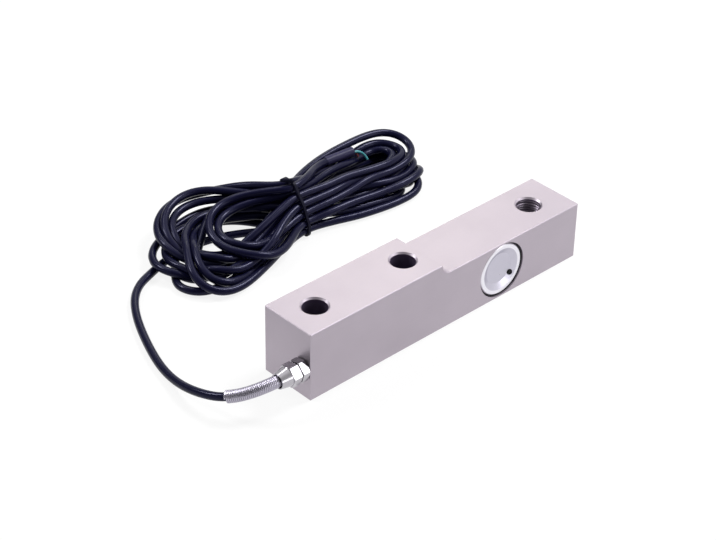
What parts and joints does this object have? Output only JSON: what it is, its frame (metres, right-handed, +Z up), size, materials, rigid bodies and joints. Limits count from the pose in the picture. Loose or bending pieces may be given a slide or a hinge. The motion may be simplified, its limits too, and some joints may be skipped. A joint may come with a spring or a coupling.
{
  "type": "shear beam load cell",
  "caption": "Stepped steel shear beam load cell with mounting holes, a threaded load hole, sealed gauge pockets and a cable tied in a hank.",
  "frame": {"origin": "centre of the beam's bottom face, without the gland and cable", "axes": "+X from the cable end to the load end, -Y to the front where the cable enters, +Z up to the mounting pad"},
  "size_m": [0.2515, 0.1823, 0.0424],
  "materials": {
    "plated_steel": "satin nickel plate",
    "cover_steel": "bright pressed sheet",
    "sealant": "matte",
    "plug_rubber": "matte",
    "gauge_film": "amber film",
    "lead_wire": "enamelled copper",
    "board_laminate": "laminate",
    "bobbin_plastic": "moulded",
    "seal_rubber": "matte",
    "plated_brass": "bright nickel plate",
    "washer_brass": "turned",
    "spring_steel": "drawn wire",
    "cable_jacket": "satin",
    "tie_plastic": "satin",
    "shrink_sleeve": "satin",
    "core_red": "satin",
    "core_black": "satin",
    "core_green": "satin",
    "core_white": "satin"
  },
  "bodies": {
    "root": {"beam_body": "plated_steel", "bend_spring": "spring_steel", "bridge_wires": "lead_wire", "cable_hank": "cable_jacket", "cable_lead": "cable_jacket", "cable_tie": "tie_plastic", "compensation_bobbins": "bobbin_plastic", "core_black": "core_black", "core_green": "core_green", "core_red": "core_red", "core_white": "core_white", "end_core_black": "core_black", "end_core_green": "core_green", "end_core_red": "core_red", "end_core_white": "core_white", "end_sleeve": "shrink_sleeve", "front_cover": "cover_steel", "front_cover_bead": "sealant", "front_gauge_leads": "lead_wire", "front_strain_gauge": "gauge_film", "front_vent_plug": "plug_rubber", "gland_body": "plated_brass", "gland_nut": "plated_brass", "gland_seal": "seal_rubber", "rear_cover": "cover_steel", "rear_cover_bead": "sealant", "rear_gauge_leads": "lead_wire", "rear_strain_gauge": "gauge_film", "rear_terminal_strip": "board_laminate", "rear_vent_plug": "plug_rubber", "seal_bush": "seal_rubber", "terminal_board": "board_laminate", "thrust_washer": "washer_brass"}
  },
  "joints": []
}
